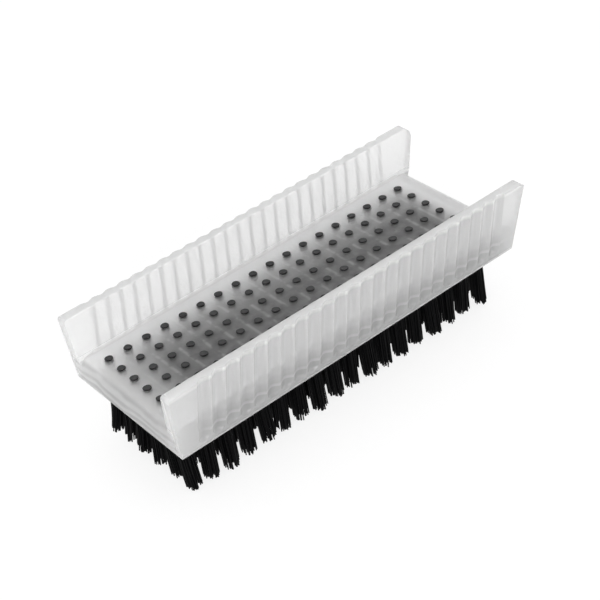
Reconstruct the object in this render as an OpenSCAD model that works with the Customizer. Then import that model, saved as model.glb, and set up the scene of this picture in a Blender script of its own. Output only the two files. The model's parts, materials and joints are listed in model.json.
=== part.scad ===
// Nail brush: a clear moulded handle with two fluted wings, and bristle tufts set through its base.
// Millimetres, +Z up. X runs along the brush, and the end with the rounder wing corners is at +X.
// The origin is under the middle of the handle, on the plane that the bristle tips stand on.

/* [Base] */
// Length of the underside
base_length = 114.8; // [112:0.1:130]
// Width of the underside
base_width = 47; // [45:0.1:52]
// Thickness of the base, from the underside to the deck
base_thickness = 7.8; // [7:0.1:10]
// Radius that rounds the deck over at both ends
deck_end_radius = 3.2; // [2:0.1:4]
// Radius on the bottom edges
bottom_edge_radius = 0.4; // [0.2:0.05:1]

/* [Wings] */
// Height of the wings above the deck
wing_height = 12.5; // [9:0.1:16]
// Width over both wings at the top
wing_span = 49.2; // [48:0.1:56]
// Thickness of a wing where it meets the deck
wing_root_thickness = 4; // [3:0.1:5.5]
// Thickness of a wing at its top
wing_rim_thickness = 3.2; // [2.4:0.1:4]
// How far the square end leans out, from the underside to the wing tops
square_end_lean = 0.9; // [0:0.1:3]
// How far the rounded end leans out, from the underside to the wing tops
rounded_end_lean = 6.2; // [1:0.1:8]
// Radius of the wing corners at the square end
square_corner_radius = 1.2; // [0.5:0.1:3]
// Radius of the wing corners at the rounded end
rounded_corner_radius = 2.8; // [1:0.1:4]
// Radius on the outer top edge of a wing
outer_rim_radius = 0.6; // [0.3:0.05:1]
// Radius on the inner top edge of a wing
inner_rim_radius = 0.4; // [0.2:0.05:1]
// Radius between the deck and a wing
floor_fillet = 0.8; // [0.3:0.1:1.2]

/* [Flutes] */
// Number of flutes in the outside of each wing
flute_count = 24; // [16:1:30]
// Length left plain at both ends of a wing's top
plain_end = 8.6; // [6:0.1:14]
// Depth of a flute
flute_depth = 1; // [0.4:0.05:1.2]
// Width of the ridge left between two flutes
ridge_width = 0.3; // [0.2:0.05:1]
// Distance from the underside to the lower ends of the flutes
flute_foot = 1; // [0.6:0.1:7]
// Length over which a flute gets shallower to its lower end
flute_run_out = 1.5; // [0.5:0.1:5]

/* [Tufts] */
// Number of tufts along the brush
columns = 18; // [12:1:18]
// Number of tufts across the brush
rows = 6; // [4:1:6]
// Distance from the square end of the underside to the nearest tufts
square_end_margin = 5.6; // [5.4:0.1:7]
// Distance from the rounded end of the underside to the nearest tufts
rounded_end_margin = 7.2; // [5.4:0.1:8]
// Distance from a wing, at the deck, to the nearest tufts
side_margin = 5.4; // [4:0.1:6]
// Diameter of the holes through the base
hole_diameter = 2.6; // [2.2:0.05:2.6]
// Clearance between a tuft's shank and its hole, all round
shank_clearance = 0.05; // [0.03:0.01:0.1]
// Diameter of a tuft's fused head on the deck
head_diameter = 2.8; // [2.7:0.05:4]
// Height of a tuft's fused head above the deck
head_height = 0.25; // [0.15:0.05:0.5]

/* [Bristles] */
// Bristle length from the underside to the plane that the tips stand on
bristle_length = 19; // [12:0.1:24]
// Gap left between neighbouring tufts where they are widest, at their tips
tuft_gap = 0.3; // [0.2:0.05:1.5]
// How far the outermost tufts lean out at their tips
splay = 1; // [0:0.1:1.5]
// How much the strands differ in length
unevenness = 2; // [0:0.1:4]
// Depth that the longest tips are cut flat at the plane they stand on
tip_cut = 0.5; // [0.2:0.1:1]
// Distance from the outside of the strands to the outside of the shank they leave
root_inset = 0.2; // [0.1:0.05:0.4]
// How far the strands run up inside the shank
strand_hold = 1; // [0.5:0.1:3]
// Strands in one tuft
strands = 4; // [3:1:4]

/* [Hidden] */
$fn = 48;
arc_steps = 8;
strand_sides = 3;
overrun = 1;

underside_z = bristle_length;
deck_z = underside_z + base_thickness;
rim_z = deck_z + wing_height;

// Share of a strand's length at which it bends, the share of the tuft's spread that it has there,
// and the share of the tuft's radius that one strand takes.
bend_share = 0.35;
bend_spread_share = 0.85;
strand_share = 0.39;

square_end_x = -base_length / 2;
rounded_end_x = base_length / 2;
rim_start = square_end_x - square_end_lean;
rim_end = rounded_end_x + rounded_end_lean;
end_outline = [
    [square_end_x, underside_z],
    [rounded_end_x, underside_z],
    [rim_end, rim_z],
    [rim_start, rim_z],
];
end_radii = [bottom_edge_radius, bottom_edge_radius, rounded_corner_radius, square_corner_radius];

// The deck's two ends, before they are rounded over.
deck_share = base_thickness / (rim_z - underside_z);
square_deck_end = end_outline[0] + deck_share * (end_outline[3] - end_outline[0]);
rounded_deck_end = end_outline[1] + deck_share * (end_outline[2] - end_outline[1]);

// The middle of the whole handle, which stands over the origin.
rounded_corner = corner_centre(end_outline[1], end_outline[2], end_outline[3], rounded_corner_radius);
square_corner = corner_centre(end_outline[2], end_outline[3], end_outline[0], square_corner_radius);
tip_x = [square_corner.x - square_corner_radius, rounded_corner.x + rounded_corner_radius];
middle_x = (tip_x[0] + tip_x[1]) / 2;

channel_floor = base_width + deck_share * (wing_span - base_width) - 2 * wing_root_thickness;
channel_mouth = wing_span - 2 * wing_rim_thickness;

column_pitch = (base_length - square_end_margin - rounded_end_margin) / (columns - 1);
row_pitch = (channel_floor - 2 * side_margin) / (rows - 1);
shank_radius = hole_diameter / 2 - shank_clearance;
root_radius = shank_radius - root_inset;
tip_radius = (min(column_pitch, row_pitch) - tuft_gap) / 2;

flute_pitch = (rim_end - rim_start - 2 * plain_end) / flute_count;
flute_radius = (pow((flute_pitch - ridge_width) / 2, 2) + pow(flute_depth, 2)) / (2 * flute_depth);
side_lean = atan2((wing_span - base_width) / 2, rim_z - underside_z);

function column_name(column) = str("tuft_column_", column < 10 ? "0" : "", column);

// Where a tuft's axis stands, with columns and rows counted from 1.
function tuft_place(column, row) = [
    square_end_x + square_end_margin + (column - 1) * column_pitch,
    (row - (rows + 1) / 2) * row_pitch,
];

// How far a tuft leans at its tips, which grows evenly from the middle of the brush to its outermost tufts.
function tuft_lean(column, row) =
    splay * [2 * (column - 1) / (columns - 1) - 1, 2 * (row - 1) / (rows - 1) - 1];

function unit(v) = v / norm(v);

function turned(p, angle) = [p.x * cos(angle) - p.y * sin(angle), p.x * sin(angle) + p.y * cos(angle)];

// Half the angle of the corner at v, between its neighbours a and b.
function half_corner(a, v, b) = acos(unit(a - v) * unit(b - v)) / 2;

// Centre of the arc of radius r that rounds the corner at v.
function corner_centre(a, v, b, r) =
    v + unit(unit(a - v) + unit(b - v)) * r / sin(half_corner(a, v, b));

function corner_arc(a, v, b, r) =
    let (
        half = half_corner(a, v, b),
        centre = corner_centre(a, v, b, r),
        reach = r / tan(half),
        first = v + unit(a - v) * reach - centre,
        last = v + unit(b - v) * reach - centre,
        sweep = sign(cross(first, last)) * (180 - 2 * half)
    )
    [for (step = [0 : arc_steps]) centre + turned(first, sweep * step / arc_steps)];

// The outline with each corner rounded by its radius, where that isn't zero.
function rounded(points, radii) =
    let (count = len(points))
    [
        for (i = [0 : count - 1])
            each radii[i] > 0
                ? corner_arc(points[(i + count - 1) % count], points[i], points[(i + 1) % count], radii[i])
                : [points[i]]
    ];

// A number from -1 to 1 that differs from strand to strand but never changes.
function vary(seed) = sin(seed * 137.5) * cos(seed * 51.3);

// Spreads a profile, drawn as [y, z], along X.
module along_x(start, end) {
    translate([start, 0, 0])
        rotate([90, 0, 90])
            linear_extrude(end - start) children();
}

// Spreads a profile, drawn as [x, z], evenly to both sides of the middle.
module across_y(width) {
    rotate([90, 0, 0])
        linear_extrude(width, center = true) children();
}

// Cuts the deck round at one end, between the wings. The cut runs on past both of the faces that it joins.
module deck_end(below, corner, along_deck, far_x) {
    arc = corner_arc(below, corner, along_deck, deck_end_radius);
    past_end = arc[0] + unit(arc[0] - arc[1]) * overrun;
    past_deck = arc[arc_steps] + unit(arc[arc_steps] - arc[arc_steps - 1]) * overrun;
    top = rim_z + overrun;
    across_y(channel_floor)
        polygon(concat(
            [past_end],
            [for (step = [1 : arc_steps - 1]) arc[step]],
            [past_deck, [past_deck.x, top], [far_x, top], [far_x, past_end.y]]
        ));
}

// The channel without its flutes and holes: one cross-section, cut to the shape of both ends.
module channel() {
    start = tip_x[0] - overrun;
    end = tip_x[1] + overrun;
    section = rounded(
        [
            [-base_width / 2, underside_z],
            [base_width / 2, underside_z],
            [wing_span / 2, rim_z],
            [channel_mouth / 2, rim_z],
            [channel_floor / 2, deck_z],
            [-channel_floor / 2, deck_z],
            [-channel_mouth / 2, rim_z],
            [-wing_span / 2, rim_z],
        ],
        [
            bottom_edge_radius,
            bottom_edge_radius,
            outer_rim_radius,
            inner_rim_radius,
            floor_fillet,
            floor_fillet,
            inner_rim_radius,
            outer_rim_radius,
        ]
    );
    difference() {
        intersection() {
            across_y(wing_span + 2 * overrun) polygon(rounded(end_outline, end_radii));
            along_x(start, end) polygon(section);
        }
        deck_end(end_outline[0], square_deck_end, rounded_deck_end, start);
        deck_end(end_outline[1], rounded_deck_end, square_deck_end, end);
    }
}

// One flute, upright on its own axis: a round cut that ends below in a cone.
module flute() {
    cone_height = flute_run_out * flute_radius / flute_depth;
    cone_top = flute_foot + flute_run_out;
    top = norm([rim_z - underside_z, (wing_span - base_width) / 2]) + overrun;
    rotate_extrude()
        polygon([
            [0, cone_top - cone_height],
            [flute_radius, cone_top],
            [flute_radius, top],
            [0, top],
        ]);
}

// The flutes in the outside of the +Y wing, leaning with it, so they are equally deep all the way down.
module flutes() {
    for (number = [1 : flute_count])
        translate([rim_start + plain_end + (number - 0.5) * flute_pitch, base_width / 2, underside_z])
            rotate([-side_lean, 0, 0])
                translate([0, flute_radius - flute_depth, 0])
                    flute();
}

module handle() {
    color([0.93, 0.94, 0.94, 0.6])
        translate([-middle_x, 0, 0])
            difference() {
                channel();
                flutes();
                mirror([0, 1, 0]) flutes();
                for (column = [1 : columns], row = [1 : rows])
                    translate(concat(tuft_place(column, row), [underside_z - overrun]))
                        cylinder(d = hole_diameter, h = base_thickness + 2 * overrun);
            }
}

// One strand of three sides, with a ring of corners at its root in the shank, its bend and its tip.
module strand(angle, lean, seed) {
    length = bristle_length - max(0, unevenness * (1 + vary(seed)) / 2 - tip_cut);
    spread = tip_radius - root_radius;
    rings = [
        [root_radius, 0, underside_z + strand_hold],
        [root_radius + bend_spread_share * spread, bend_share, underside_z - bend_share * length],
        [tip_radius, 1, underside_z - length],
    ];
    points = [
        for (ring = rings, side = [0 : strand_sides - 1])
            let (
                axis = turned([ring[0] * (1 - strand_share), 0], angle),
                corner = turned([ring[0] * strand_share, 0], angle + side * 360 / strand_sides)
            )
            concat(axis + corner + ring[1] * lean, [ring[2]])
    ];
    last = len(points) - 1;
    faces = concat(
        [[0, 2, 1], [last - 2, last - 1, last]],
        [
            for (ring = [0 : len(rings) - 2], side = [0 : strand_sides - 1])
                let (
                    here = ring * strand_sides + side,
                    next = ring * strand_sides + (side + 1) % strand_sides
                )
                each [
                    [here, next, next + strand_sides],
                    [here, next + strand_sides, here + strand_sides]
                ]
        ]
    );
    polyhedron(points, faces);
}

// One tuft on its hole's axis: the fused head on the deck, the shank in the hole and the strands below.
module tuft(lean, seed) {
    translate([0, 0, underside_z])
        cylinder(r = shank_radius, h = base_thickness + head_height);
    translate([0, 0, deck_z])
        cylinder(d = head_diameter, h = head_height);
    for (turn = [0 : strands - 1])
        strand((turn + vary(seed) / 4) * 360 / strands, lean, seed * strands + turn);
}

module tuft_column(column) {
    color([0.07, 0.07, 0.07])
        translate([-middle_x, 0, 0])
            for (row = [1 : rows])
                translate(tuft_place(column, row))
                    tuft(tuft_lean(column, row), column * rows + row);
}

handle();
for (column = [1 : columns])
    tuft_column(column);
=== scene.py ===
import bpy
import bmesh
import json
import math
import random
from mathutils import Matrix, Vector

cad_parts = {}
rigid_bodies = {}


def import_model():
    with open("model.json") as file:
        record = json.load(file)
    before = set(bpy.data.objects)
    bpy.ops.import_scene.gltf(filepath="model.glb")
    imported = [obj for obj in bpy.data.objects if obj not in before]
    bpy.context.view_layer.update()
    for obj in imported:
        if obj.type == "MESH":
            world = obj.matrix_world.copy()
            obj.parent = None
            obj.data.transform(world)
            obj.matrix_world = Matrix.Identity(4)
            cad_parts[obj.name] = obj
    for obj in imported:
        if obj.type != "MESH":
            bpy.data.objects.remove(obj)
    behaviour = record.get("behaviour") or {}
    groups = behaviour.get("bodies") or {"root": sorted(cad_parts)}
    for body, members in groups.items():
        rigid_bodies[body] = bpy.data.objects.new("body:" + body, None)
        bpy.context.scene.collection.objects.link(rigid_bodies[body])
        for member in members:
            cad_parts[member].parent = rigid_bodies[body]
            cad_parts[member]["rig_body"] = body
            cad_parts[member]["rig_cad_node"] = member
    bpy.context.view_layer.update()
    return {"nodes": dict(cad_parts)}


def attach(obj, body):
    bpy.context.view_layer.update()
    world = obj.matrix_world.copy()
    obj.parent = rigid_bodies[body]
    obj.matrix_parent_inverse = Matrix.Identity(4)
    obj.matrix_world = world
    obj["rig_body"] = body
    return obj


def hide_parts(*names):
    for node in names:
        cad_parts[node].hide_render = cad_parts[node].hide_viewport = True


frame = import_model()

bpy.ops.object.select_all(action="DESELECT")


# The handle: one moulding of frosted clear plastic, a channel whose two walls are the wings that the fingers
# hold. The flutes are moulded into the outside of the wings, and the base has a hole for each tuft.
def uneven_surface(name, strength, scale, detail):
    """A group with the soft unevenness of a moulded or drawn surface, as a height and as a mask."""
    group = bpy.data.node_groups.new(name, "ShaderNodeTree")
    for label, value in (("Scale", scale), ("Detail", detail), ("Strength", strength)):
        socket = group.interface.new_socket(label, in_out="INPUT", socket_type="NodeSocketFloat")
        socket.default_value = value
    group.interface.new_socket("Height", in_out="OUTPUT", socket_type="NodeSocketFloat")
    group.interface.new_socket("Mask", in_out="OUTPUT", socket_type="NodeSocketFloat")
    nodes, links = group.nodes, group.links
    given, put_out = nodes.new("NodeGroupInput"), nodes.new("NodeGroupOutput")
    place = nodes.new("ShaderNodeTexCoord")
    noise = nodes.new("ShaderNodeTexNoise")
    times = nodes.new("ShaderNodeMath")
    times.operation = "MULTIPLY"
    links.new(place.outputs["Object"], noise.inputs["Vector"])
    links.new(given.outputs["Scale"], noise.inputs["Scale"])
    links.new(given.outputs["Detail"], noise.inputs["Detail"])
    links.new(noise.outputs["Fac"], times.inputs[0])
    links.new(given.outputs["Strength"], times.inputs[1])
    links.new(times.outputs[0], put_out.inputs["Height"])
    links.new(noise.outputs["Fac"], put_out.inputs["Mask"])
    return group


unevenness = uneven_surface("moulded_unevenness", 1.0, 400.0, 2.0)


def new_material(name):
    """A material, with its nodes, its links and its shader."""
    material = bpy.data.materials.new(name)
    material.use_nodes = True
    tree = material.node_tree
    return material, tree.nodes, tree.links, tree.nodes["Principled BSDF"]


def uneven(scale, detail=2.0):
    """The shared unevenness at one scale, in the material that is being made."""
    node = nodes.new("ShaderNodeGroup")
    node.node_tree = unevenness
    node.inputs["Scale"].default_value = scale
    node.inputs["Detail"].default_value = detail
    return node.outputs


def raise_surface(height, strength, distance):
    """Lets a height change the normals of the material that is being made."""
    bump = nodes.new("ShaderNodeBump")
    bump.inputs["Strength"].default_value = strength
    bump.inputs["Distance"].default_value = distance
    links.new(height, bump.inputs["Height"])
    links.new(bump.outputs["Normal"], shader.inputs["Normal"])


def worked(step, *values):
    """One step of arithmetic in the material that is being made, from sockets and numbers."""
    node = nodes.new("ShaderNodeMath")
    node.operation = step
    for socket, value in zip(node.inputs, values):
        if isinstance(value, (int, float)):
            socket.default_value = value
        else:
            links.new(value, socket)
    return node.outputs[0]


def between(value, low, high, at_low=0.0, at_high=1.0):
    """A soft change from one value to another, while the given value goes from low to high."""
    node = nodes.new("ShaderNodeMapRange")
    node.interpolation_type = "SMOOTHSTEP"
    for name, number in (("From Min", low), ("From Max", high), ("To Min", at_low), ("To Max", at_high)):
        node.inputs[name].default_value = number
    links.new(value, node.inputs["Value"])
    return node.outputs["Result"]


# Heights are above the floor. The far wing's flutes stand nearer to the square end than the near wing's.
underside, deck, rim = 0.019, 0.0268, 0.0393
flutes_start, flutes_end, flute_count = -0.051886, 0.052814, 24
flute_lean, far_flutes_back = 0.14, 0.00185
first_tuft, tuft_pitch_along, tuft_pitch_across = -0.053986, 0.006, 0.005809
wing_rough, deck_rough = 0.18, 0.4
cloud_scale, patch_scale, grain_scale = 60, 260, 900

frosted, nodes, links, shader = new_material("frosted_plastic")
shader.inputs["IOR"].default_value = 1.49
shader.inputs["Transmission Weight"].default_value = 0.46
shader.inputs["Subsurface Weight"].default_value = 1.0
shader.inputs["Subsurface Radius"].default_value = (1, 1, 1)
shader.inputs["Subsurface Scale"].default_value = 0.04

place = nodes.new("ShaderNodeTexCoord")
position = nodes.new("ShaderNodeSeparateXYZ")
links.new(place.outputs["Object"], position.inputs["Vector"])
along, side, height = position.outputs["X"], position.outputs["Y"], position.outputs["Z"]
across, from_centre = worked("ABSOLUTE", side), worked("ABSOLUTE", along)
cloud = uneven(cloud_scale)["Mask"]
patch = uneven(patch_scale)["Mask"]

# On the outside, painted shade stands for the black tufts seen through the base as a darker band. It is
# broken by a painted highlight line where the deck meets the wing, and ended by a light bottom edge, also a
# painted highlight. The line steps up by a little in each flute.
outside_from = (0.0220, 0.0226)
band_ends = (0.048, 0.054)
highlight_line_step = 0.0004
outside = between(across, *outside_from)
inside = worked("SUBTRACT", 1.0, outside)
not_ends = between(from_centre, *band_ends, 1.0, 0.0)
far_side = worked("GREATER_THAN", side, 0.0)
upright = worked("ADD", along, worked("MULTIPLY_ADD", far_side, far_flutes_back, -flutes_start))
upright = worked("ADD", upright, worked("MULTIPLY_ADD", height, -flute_lean, rim * flute_lean))
flute_share = worked("FRACT", worked("MULTIPLY", upright, flute_count / (flutes_end - flutes_start)))
stepped = worked("MULTIPLY_ADD", worked("ADD", flute_share, -0.5), highlight_line_step, height)
band = nodes.new("ShaderNodeValToRGB")
band.color_ramp.interpolation = "EASE"
# Each step of the painted shade band is a height above the underside and the tone painted there; a tone of 1
# leaves a painted highlight.
painted_shade_steps = (
    (0.0, 1.0), (0.0006, 1.0), (0.0008, 0.6), (0.0013, 0.66), (0.0022, 0.74), (0.0039, 0.76),
    (0.0043, 1.0), (0.0047, 0.96), (0.0052, 0.82), (0.0066, 0.88), (0.0082, 1.0),
)
while len(band.color_ramp.elements) < len(painted_shade_steps):
    band.color_ramp.elements.new(0.5)
for element, (above, tone) in zip(band.color_ramp.elements, painted_shade_steps):
    element.position = above / (rim - underside)
    element.color = (tone, tone, tone, 1)
band_height = worked("DIVIDE", worked("SUBTRACT", stepped, underside), rim - underside)
links.new(band_height, band.inputs["Fac"])
painted_shade_share = worked("MULTIPLY", outside, not_ends)
painted_shade_change = worked("SUBTRACT", band.outputs["Color"], 1.0)
painted_shade_band_tone = worked("ADD", 1.0, worked("MULTIPLY", painted_shade_share, painted_shade_change))

# On the deck, painted shade stands for the black shanks seen through the plastic and for the near wing's
# shadow: it is darkest round each tuft, with lighter lines across the brush between the columns. The painted
# shade is patchy, fades before the deck's edges and lightens towards the far wing.
deck_painted_shade, halo_share, darkest = 0.86, 0.95, 0.94
above_deck, deck_rounding = (0.0001, 0.0005), (0.026, 0.0266)
near_fade, far_fade = (-0.0200, -0.0150), (0.0080, 0.0180)
square_end_fade, rounded_end_fade = (-0.058, -0.042), (0.043, 0.054)
halo_width, lighter_line_place = (0.0012, 0.0030), (0.0023, 0.0029)
lighter_line_lift, lighter_line_breaks = 0.2, (0.42, 0.58)
patch_edges, patch_tones = (0.35, 0.65), (1.04, 0.96)
lit_far_rows, lit_far_rows_share = (0.0, 0.0095), 0.74
on_deck = worked(
    "MULTIPLY",
    between(height, deck + above_deck[0], deck + above_deck[1], 1.0, 0.0),
    between(height, *deck_rounding),
)
columns_along = worked("MULTIPLY_ADD", along, 1 / tuft_pitch_along, 0.5 - first_tuft / tuft_pitch_along)
column_share = worked("FRACT", columns_along)
row_share = worked("FRACT", worked("MULTIPLY", side, 1 / tuft_pitch_across))
from_column = worked("MULTIPLY", worked("ADD", column_share, -0.5), tuft_pitch_along)
from_row = worked("MULTIPLY", worked("ADD", row_share, -0.5), tuft_pitch_across)
squares = worked("ADD", worked("POWER", from_column, 2.0), worked("POWER", from_row, 2.0))
from_tuft = worked("SQRT", squares)
tufted = worked("MULTIPLY", between(side, *far_fade, 1.0, 0.0), between(along, *square_end_fade))
tufted = worked("MULTIPLY", tufted, between(side, *near_fade))
tufted = worked("MULTIPLY", tufted, between(along, *rounded_end_fade, 1.0, 0.0))
halo = between(from_tuft, *halo_width, deck_painted_shade, deck_painted_shade * halo_share)
lighter_line = between(worked("ABSOLUTE", from_column), *lighter_line_place, 0.0, lighter_line_lift)
lighter_line = worked("MULTIPLY", lighter_line, between(patch, *lighter_line_breaks))
halo = worked("MULTIPLY", halo, between(patch, *patch_edges, *patch_tones))
# Painted light: the far rows, which the front lamp reaches over the near wing, take less of the painted
# shade.
halo = worked("MULTIPLY", halo, between(side, *lit_far_rows, 1.0, lit_far_rows_share))
shaded = worked("MULTIPLY", worked("SUBTRACT", 1.0, lighter_line), halo)
shaded = worked("MULTIPLY", worked("MULTIPLY", shaded, tufted), on_deck)
painted_deck_tone = worked("SUBTRACT", 1.0, worked("MINIMUM", shaded, darkest))

# A faint line of painted shade follows the foot of each wing, in the crease where it meets the deck. The
# outside is greyer by painted shade, less so on the far wing, between its rim and its light bottom edge. The
# end faces take painted shade in soft streaks.
foot_painted_shade, outside_painted_shade, far_outside_painted_shade, end_painted_shade = 0.1, 0.44, 0.1, 0.36
foot_place, foot_height, foot_below = (0.0188, 0.0192), 0.0006, 0.0002
grey_below_rim, grey_above_underside = (0.0016, 0.0002), (0.0006, 0.0009)
streak_turns, streak_waver, streak_tones = 2500.0, 14.0, (0.6, 1.4)
end_face_from, end_face_full = (0.0540, 0.0548), 0.0256
foot_shade_line = worked(
    "MULTIPLY", between(across, *foot_place), between(height, deck, deck + foot_height, foot_painted_shade, 0.0)
)
foot_shade_line = worked("MULTIPLY", foot_shade_line, inside)
foot_shade_line = worked("MULTIPLY", foot_shade_line, between(height, deck - foot_below, deck))
# Painted shade: the outside of each wing, the side turned from the light, is greyed below the rim and above
# the bottom edge.
grey_top = between(height, rim - grey_below_rim[0], rim - grey_below_rim[1], 1, 0)
grey_foot = between(height, underside + grey_above_underside[0], underside + grey_above_underside[1])
painted_side_shade = worked("MULTIPLY_ADD", far_side, far_outside_painted_shade - outside_painted_shade, outside_painted_shade)
painted_side_shade = worked("MULTIPLY", worked("MULTIPLY", outside, painted_side_shade), grey_top)
painted_side_shade = worked("MULTIPLY", painted_side_shade, grey_foot)
# Painted shade on the end faces, broken into soft streaks.
wavering = worked("MULTIPLY", cloud, streak_waver)
streaks = worked("SINE", worked("MULTIPLY_ADD", height, streak_turns, wavering))
streak_shade = between(streaks, -1, 1, streak_tones[0] * end_painted_shade, streak_tones[1] * end_painted_shade)
below_top = between(height, deck, end_face_full, 0, 1)
end_face = worked("MULTIPLY", between(from_centre, *end_face_from), below_top)
painted_end_shade = worked("MULTIPLY", worked("MULTIPLY", end_face, inside), streak_shade)
wing_painted_shade_tone = worked("SUBTRACT", 1.0, worked("ADD", worked("ADD", foot_shade_line, painted_side_shade), painted_end_shade))

cloud_edges, cloud_tones = (0.3, 0.7), (0.975, 1.0)
cloudy = between(cloud, *cloud_edges, *cloud_tones)
tone = worked("MULTIPLY", worked("MULTIPLY", painted_shade_band_tone, painted_deck_tone), cloudy)
tone = worked("MULTIPLY", tone, wing_painted_shade_tone)
links.new(tone, shader.inputs["Base Color"])

# The deck has a rougher skin than the wings.
smooth_from = 0.0282
rough = worked("MULTIPLY", between(height, deck, smooth_from, 1.0, 0.0), inside)
links.new(worked("MULTIPLY_ADD", rough, deck_rough - wing_rough, wing_rough), shader.inputs["Roughness"])
raise_surface(uneven(grain_scale)["Height"], 0.15, 0.0004)

cad_handle = frame["nodes"]["handle"]
handle = cad_handle.copy()
handle.data = cad_handle.data.copy()
handle.name = "frosted_handle"
bpy.context.scene.collection.objects.link(handle)
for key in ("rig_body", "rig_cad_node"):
    if key in handle:
        del handle[key]
handle.parent = None
handle.data.materials.clear()
handle.data.materials.append(frosted)
bpy.context.view_layer.objects.active = handle
handle.select_set(True)
bpy.ops.object.mode_set(mode="EDIT")
bpy.ops.mesh.select_all(action="SELECT")
bpy.ops.mesh.remove_doubles(threshold=0.000001)
bpy.ops.mesh.customdata_custom_splitnormals_clear()
bpy.ops.mesh.select_all(action="DESELECT")
bpy.ops.mesh.select_mode(type="FACE")
bpy.ops.object.mode_set(mode="OBJECT")

# The flat ground round the flutes is made one face on each wing, so that the flutes can lean in it.
# So are the rims and the wings' inner faces.
wing_height, side_out, side_root = 0.0203, 0.0011, 0.0235
side_lean = side_out / wing_height
on_plane, on_level, inner_faces_within = 0.00001, 0.0001, 0.0225


def side_depth(place):
    """How far a place lies inside the plane of the wing's outside."""
    return side_root + (place.z - underside) * side_lean - abs(place.y)


for face in handle.data.polygons:
    on_side = all(abs(side_depth(handle.data.vertices[i].co)) < on_plane for i in face.vertices)
    on_rim = face.normal.z > 0.99 and face.center.z > rim - on_level
    above_floor = face.center.z > deck and abs(face.center.y) < inner_faces_within
    inner = abs(face.normal.y) > 0.9 and above_floor
    face.select = (on_side and abs(face.normal.y) > 0.99) or on_rim or inner
bpy.ops.object.mode_set(mode="EDIT")
bpy.ops.mesh.dissolve_limited(angle_limit=math.radians(0.5))
bpy.ops.object.mode_set(mode="OBJECT")

# The flutes are cut as arcs. Their sides are eased, so that the ridges between them are soft as on the real
# moulding, and their tops are rounded at the rim. Then they are leaned.
flute_depth, flute_reach, ridge_width = 0.001, 0.00105, 0.0003
rim_radius, ease, least_arc = 0.0006, 0.55, 0.000001
flute_pitch = (flutes_end - flutes_start) / flute_count
half_flute = (flute_pitch - ridge_width) / 2
arc_radius = (half_flute ** 2 + flute_depth ** 2) / (2 * flute_depth)
for vert in handle.data.vertices:
    depth = side_depth(vert.co)
    if flutes_start < vert.co.x < flutes_end and depth < flute_reach:
        from_middle = abs((vert.co.x - flutes_start) % flute_pitch - flute_pitch / 2)
        if from_middle < half_flute:
            arc = math.sqrt(arc_radius ** 2 - from_middle ** 2) - arc_radius + flute_depth
            wave = flute_depth / 2 * (1 + math.cos(math.pi * from_middle / half_flute))
            eased = depth * (1 - ease + ease * min(1, wave / max(arc, least_arc)))
            over = min(rim_radius, max(0, vert.co.z - rim + rim_radius))
            eased = max(eased, rim_radius - math.sqrt(rim_radius ** 2 - over ** 2))
            vert.co.y += math.copysign(depth - eased, vert.co.y)
        vert.co.x -= flute_lean * (rim - vert.co.z) + (far_flutes_back if vert.co.y > 0 else 0)

# Each hole is drawn in a little at the deck, where the plastic closes round the melted head.
hole_top_radius, hole_edge_within = 0.00112, 0.0014
for vert in handle.data.vertices:
    if abs(vert.co.z - deck) < on_level:
        column = round((vert.co.x - first_tuft) / tuft_pitch_along)
        row = round(vert.co.y / tuft_pitch_across - 0.5) + 0.5
        axis = Vector((first_tuft + column * tuft_pitch_along, row * tuft_pitch_across))
        out = vert.co.xy - axis
        if out.length < hole_edge_within:
            vert.co.xy = axis + out * (hole_top_radius / out.length)

# At the rounded end, the wings' outer corners are rounded off, most of all at the rim. A block with such
# corners, which stands just clear of the handle everywhere else, is laid over it, and only what lies inside
# the block stays.
end_root, end_out, clear = 0.055214, 0.0062, 0.00003
end_lean = end_out / wing_height
rim_corner, root_corner = 0.0018, 0.0002
block_back, block_low, block_high = -0.07, underside - 0.001, rim + 0.001


def block_edge(level):
    """How far out the block's end and its sides stand at a level."""
    end = end_root + (level - underside) * end_lean + clear
    half_width = side_root + (level - underside) * side_lean + clear
    return end, half_width


bpy.ops.object.select_all(action="DESELECT")
bpy.ops.mesh.primitive_cube_add(size=2, location=(0, 0, 0))
block = bpy.context.object
for vert in block.data.vertices:
    level = block_high if vert.co.z > 0 else block_low
    end, half_width = block_edge(level)
    vert.co = (end if vert.co.x > 0 else block_back, math.copysign(half_width, vert.co.y), level)
bpy.ops.object.mode_set(mode="EDIT")
bpy.ops.mesh.select_mode(type="EDGE")
bpy.ops.mesh.select_all(action="DESELECT")
bpy.ops.object.mode_set(mode="OBJECT")
for edge in block.data.edges:
    ends = [block.data.vertices[i].co for i in edge.vertices]
    edge.select = min(ends[0].x, ends[1].x) > 0 and abs(ends[0].z - ends[1].z) > wing_height / 2
bpy.ops.object.mode_set(mode="EDIT")
bpy.ops.mesh.bevel(offset=rim_corner, offset_type="OFFSET", segments=8, affect="EDGES")
bpy.ops.object.mode_set(mode="OBJECT")
low_end, low_half_width = block_edge(block_low)
for vert in block.data.vertices:
    if vert.co.z < rim and vert.co.x > 0:
        corner = Vector((low_end, math.copysign(low_half_width, vert.co.y), block_low))
        vert.co = corner.lerp(vert.co, root_corner / rim_corner)
block.select_set(False)
bpy.context.view_layer.objects.active = handle
handle.select_set(True)
bpy.ops.object.modifier_add(type="BOOLEAN")
cut = handle.modifiers[-1]
cut.operation = "INTERSECT"
cut.solver = "EXACT"
cut.object = block
bpy.ops.object.modifier_apply(modifier=cut.name)
bpy.data.objects.remove(block)
bpy.ops.object.shade_smooth_by_angle(angle=math.radians(60))
bpy.ops.object.modifier_add(type="WEIGHTED_NORMAL")
handle.modifiers[-1].keep_sharp = True
bpy.ops.object.modifier_apply(modifier=handle.modifiers[-1].name)
handle.select_set(False)
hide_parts("handle")
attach(handle, "root")


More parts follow.
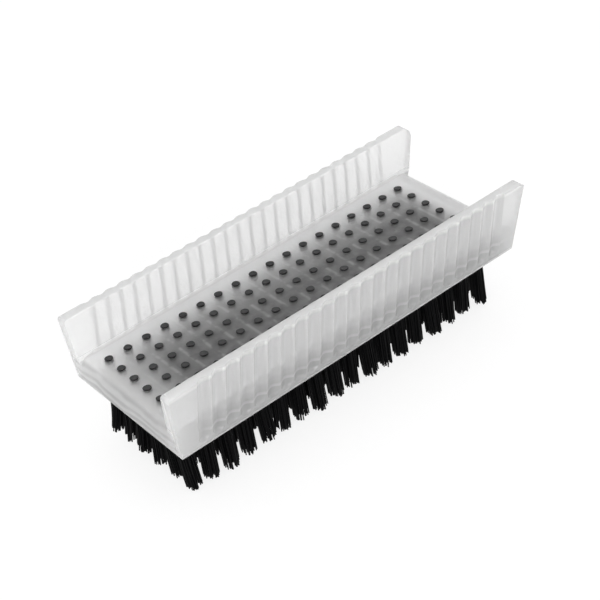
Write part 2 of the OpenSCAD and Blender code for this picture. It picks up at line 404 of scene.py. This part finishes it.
# The tufts: bundles of stiff black nylon filaments, pushed through the base and held by a head melted on
# each bundle. They stand in a grid of 18 along the brush and 6 across. Each bundle opens out below the base
# towards its neighbours, its filaments cling together in locks, and the outermost bundles lean outwards.
columns, rows = 18, 6
hole_radius, shank_gap, head_radius, head_gap = 0.0013, 0.00004, 0.0012, 0.00003
filaments, filament_radius, locks = 60, 0.00019, 6
tuft_radius, splay = 0.0024, 0.0009
black_scale, melt_scale = 1500, 900

black, nodes, links, shader = new_material("black_nylon")
shader.inputs["Roughness"].default_value = 0.5
shader.inputs["Specular IOR Level"].default_value = 0.06
shade = nodes.new("ShaderNodeMix")
shade.data_type = "RGBA"
shade.inputs["A"].default_value = (0.0008, 0.0008, 0.001, 1)
shade.inputs["B"].default_value = (0.0035, 0.0035, 0.0038, 1)
links.new(uneven(black_scale, 1)["Mask"], shade.inputs["Factor"])
links.new(shade.outputs["Result"], shader.inputs["Base Color"])

melted, nodes, links, shader = new_material("melted_nylon")
shader.inputs["Roughness"].default_value = 0.38
melt = uneven(melt_scale, 3)
# The middle of each head is painted lighter: a painted highlight for the white studio reflected in the
# glossy melted nylon.
lit_middle = nodes.new("ShaderNodeAttribute")
lit_middle.attribute_name = "middle"
shade = nodes.new("ShaderNodeMix")
shade.data_type = "RGBA"
shade.inputs["A"].default_value = (0.006, 0.006, 0.0065, 1)
shade.inputs["B"].default_value = (0.11, 0.11, 0.11, 1)
links.new(worked("MULTIPLY", melt["Mask"], lit_middle.outputs["Fac"]), shade.inputs["Factor"])
links.new(shade.outputs["Result"], shader.inputs["Base Color"])
raise_surface(melt["Height"], 0.5, 0.0002)

# One filament, straight and of unit length downwards: four sides, in equal steps.
filament_steps = 5
bpy.ops.mesh.primitive_circle_add(vertices=4, radius=filament_radius, fill_type="NGON", location=(0, 0, 0))
filament = bpy.context.object
filament.name = "filament"
bpy.ops.object.mode_set(mode="EDIT")
bpy.ops.mesh.select_all(action="SELECT")
bpy.ops.mesh.flip_normals()
for step in range(filament_steps):
    bpy.ops.mesh.extrude_region_move(TRANSFORM_OT_translate={"value": (0, 0, -1 / filament_steps)})
bpy.ops.mesh.select_all(action="SELECT")
bpy.ops.mesh.normals_make_consistent(inside=False)
bpy.ops.object.mode_set(mode="OBJECT")

# One packed shank with its melted head, whose rim stands a little higher than its middle. Each ring of the
# head is a rise over the ring before it and a share of that ring's width.
shank_radius, top_radius = hole_radius - shank_gap, hole_top_radius - head_gap
narrowed = top_radius / shank_radius
head_rings = ((0, head_radius / top_radius), (0.00012, 1), (0.0001, 0.84), (-0.00012, 0.72), (-0.00004, 0.4))
bpy.ops.object.select_all(action="DESELECT")
bpy.ops.mesh.primitive_cylinder_add(
    vertices=20, radius=shank_radius, depth=deck - underside, location=(0, 0, (deck + underside) / 2)
)
shank = bpy.context.object
shank.name = "shank"
bpy.ops.object.transform_apply(location=True, rotation=True, scale=True)
for face in shank.data.polygons:
    face.select = face.normal.z > 0.9
bpy.ops.object.mode_set(mode="EDIT")
bpy.ops.mesh.select_mode(type="FACE")
bpy.ops.transform.resize(value=(narrowed, narrowed, 1))
for rise, width_share in head_rings:
    bpy.ops.mesh.extrude_region_move(TRANSFORM_OT_translate={"value": (0, 0, rise)})
    bpy.ops.transform.resize(value=(width_share, width_share, 1))
bpy.ops.object.mode_set(mode="OBJECT")
bpy.ops.object.shade_smooth_by_angle(angle=math.radians(50))

# How much the bundles and their filaments differ: in slope, in length, and in how far they cling to a lock.
chance = random.Random(7)
slope_spread, slope_shortens = 0.0004, 300
lock_spread, tip_spread, length_spread = 0.0008, 0.00012, 0.0004
middle_lock, outer_locks = 0.1, 0.75
cling_least, cling_most = 0.05, 0.3
filament_turn, shortest = 2.39996, 0.0135


def on_disc(share, turn, reach):
    """A place in a round bundle, at a share of its radius."""
    return Vector((math.cos(turn), math.sin(turn))) * reach * share


def bundle(axis, lean, worn, bent):
    """Filaments of one tuft, as a list of root, place below the base, tip and length.

    The tips lean, worn shortens them, and bent is the share of the lean that the bundle has below the base.
    """
    slope = Vector((chance.gauss(0, 1), chance.gauss(0, 1))) * slope_spread
    start = chance.uniform(0, math.tau)
    lock_places = []
    for lock in range(locks):
        share = outer_locks if lock else middle_lock
        place = on_disc(share, start + lock * math.tau / (locks - 1), tuft_radius)
        drop = abs(chance.gauss(0, lock_spread)) + max(0, place.dot(slope)) * slope_shortens
        lock_places.append((place, drop))
    tuft = []
    for number in range(filaments):
        share = math.sqrt((number + 0.5) / filaments)
        turn = start + number * filament_turn
        root = on_disc(share, turn, hole_radius - filament_radius)
        open_place = on_disc(share, turn, tuft_radius - filament_radius)
        lock_place, drop = min(lock_places, key=lambda lock: (lock[0] - open_place).length)
        tip = open_place.lerp(lock_place, chance.uniform(cling_least, cling_most)) + lean + slope
        tip += Vector((chance.gauss(0, tip_spread), chance.gauss(0, tip_spread)))
        length = underside - worn - drop - abs(chance.gauss(0, length_spread))
        length = min(underside, max(length, shortest))
        tuft.append((axis + root, axis + open_place + lean * bent, axis + tip, length))
    return tuft


# Along the brush, the bundles lean a little towards the rounded end, the last two columns more. The first
# column leans the other way, most at its far row. The first two are worn shorter, but for the near row.
lean_all, lean_rounded_end, lean_square_end = 0.0002, 0.0006, 0.0016
worn_least, worn_each_row = 0.0015, 0.0003
bent_share, first_bent_share = 0.7, -0.1
# Within the first radius the head's middle takes the painted highlight, which fades out over the second
# distance.
highlight_radius, highlight_fade = 0.00095, 0.0004
head_even, head_wave, above_shank = 0.96, 0.04, 0.00001
root_hidden, opening = 0.0003, 8
for column in range(columns):
    heads = bmesh.new()
    heads.verts.layers.float.new("middle")
    bristles = bmesh.new()
    for row in range(rows):
        axis = Vector((first_tuft + column * tuft_pitch_along, (row - (rows - 1) / 2) * tuft_pitch_across))
        lean_along = lean_all + lean_rounded_end * max(0, (column - columns + 3) / 2)
        if column == 0:
            lean_along -= lean_square_end * row / (rows - 1)
        lean = Vector((lean_along, (2 * row / (rows - 1) - 1) * splay))
        worn = (worn_least + worn_each_row * row) * max(0, 1 - column / 2) if row else 0
        bent = bent_share if column else first_bent_share
        turn = Matrix.Rotation(chance.uniform(0, math.tau), 3, "Z")
        first = len(heads.verts)
        heads.from_mesh(shank.data)
        heads.verts.ensure_lookup_table()
        highlight_layer = heads.verts.layers.float["middle"]
        # Each vertex gets its share of the painted highlight in the middle of the head.
        for vert in heads.verts[first:]:
            vert[highlight_layer] = min(1, max(0, (highlight_radius - vert.co.xy.length) / highlight_fade))
            if vert.co.z > deck + above_shank:
                angle = math.atan2(vert.co.y, vert.co.x)
                vert.co.xy *= head_even + head_wave * math.sin(3 * angle + column + row)
            vert.co = turn @ vert.co
            vert.co.xy += axis
        for root, waist, tip, length in bundle(axis, lean, worn, bent):
            roll = Matrix.Rotation(chance.uniform(0, math.tau), 3, "Z")
            first = len(bristles.verts)
            bristles.from_mesh(filament.data)
            bristles.verts.ensure_lookup_table()
            for vert in bristles.verts[first:]:
                down = -vert.co.z
                opened = 1 - (1 - down) ** opening
                middle = root.lerp(waist.lerp(tip, down ** 2), opened)
                edge = roll @ Vector((vert.co.x, vert.co.y, 0))
                level = underside + root_hidden * (1 - down) - down * length
                vert.co = Vector((middle.x + edge.x, middle.y + edge.y, level))
    for name, built, finish in (("heads", heads, melted), ("bristles", bristles, black)):
        mesh = bpy.data.meshes.new(f"column_{column + 1:02d}_{name}")
        built.to_mesh(mesh)
        built.free()
        mesh.materials.append(finish)
        piece = bpy.data.objects.new(mesh.name, mesh)
        bpy.context.scene.collection.objects.link(piece)
        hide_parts(f"tuft_column_{column + 1:02d}")
        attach(piece, "root")
for model in (filament, shank):
    bpy.data.objects.remove(model)


# The floor and the light: a plain white studio, with a wide soft lamp in front and another above.
# The floor shows white to the eye and through the plastic, and keeps a soft shadow.
floor_size, floor_white = 4, 0.8
bpy.ops.object.select_all(action="DESELECT")
bpy.ops.mesh.primitive_plane_add(size=floor_size, location=(0, 0, 0))
floor = bpy.context.object
floor.name = "floor"
paper, nodes, links, shader = new_material("white_paper")
shader.inputs["Base Color"].default_value = (0.9, 0.9, 0.9, 1)
shader.inputs["Roughness"].default_value = 0.9
shader.inputs["Specular IOR Level"].default_value = 0
glow = nodes.new("ShaderNodeEmission")
rays = nodes.new("ShaderNodeLightPath")
mix = nodes.new("ShaderNodeMixShader")
seen = worked("MAXIMUM", rays.outputs["Is Camera Ray"], rays.outputs["Is Glossy Ray"])
seen = worked("MAXIMUM", seen, rays.outputs["Is Transmission Ray"])
links.new(worked("MULTIPLY", seen, floor_white), mix.inputs["Fac"])
links.new(shader.outputs[0], mix.inputs[1])
links.new(glow.outputs[0], mix.inputs[2])
links.new(mix.outputs[0], nodes["Material Output"].inputs["Surface"])
floor.data.materials.append(paper)

world = bpy.data.worlds.new("studio")
bpy.context.scene.world = world
world.use_nodes = True
air = world.node_tree.nodes["Background"]
air.inputs["Color"].default_value = (1, 1, 1, 1)
air.inputs["Strength"].default_value = 1.0

for name, lamp_place, width, power in (
    ("front_lamp", (-0.5, -0.75, 0.35), 0.5, 5.6),
    ("top_lamp", (0.2, 0.1, 0.9), 0.7, 1.2),
):
    lamp = bpy.data.lights.new(name, "AREA")
    lamp.size = width
    lamp.energy = power
    lamp_object = bpy.data.objects.new(name, lamp)
    lamp_object.location = lamp_place
    lamp_object.rotation_euler = (-Vector(lamp_place)).to_track_quat("-Z", "Y").to_euler()
    bpy.context.scene.collection.objects.link(lamp_object)


# The camera stands above the square end and the near wing, where the photograph was taken from.
lens_length, camera_place = 89.72, (-0.18399, -0.2665, 0.2641)
to_right = Vector((0.76166, -0.63542, -0.12695))
to_top = Vector((0.46453, 0.39886, 0.79064))
view = bpy.data.cameras.new("camera")
view.sensor_width = 36
view.lens = lens_length
camera = bpy.data.objects.new("camera", view)
bpy.context.scene.collection.objects.link(camera)
turned = Matrix((to_right, to_top, to_right.cross(to_top))).transposed().to_4x4()
camera.matrix_world = Matrix.Translation(camera_place) @ turned
bpy.context.scene.camera = camera
bpy.context.scene.view_settings.view_transform = "Standard"
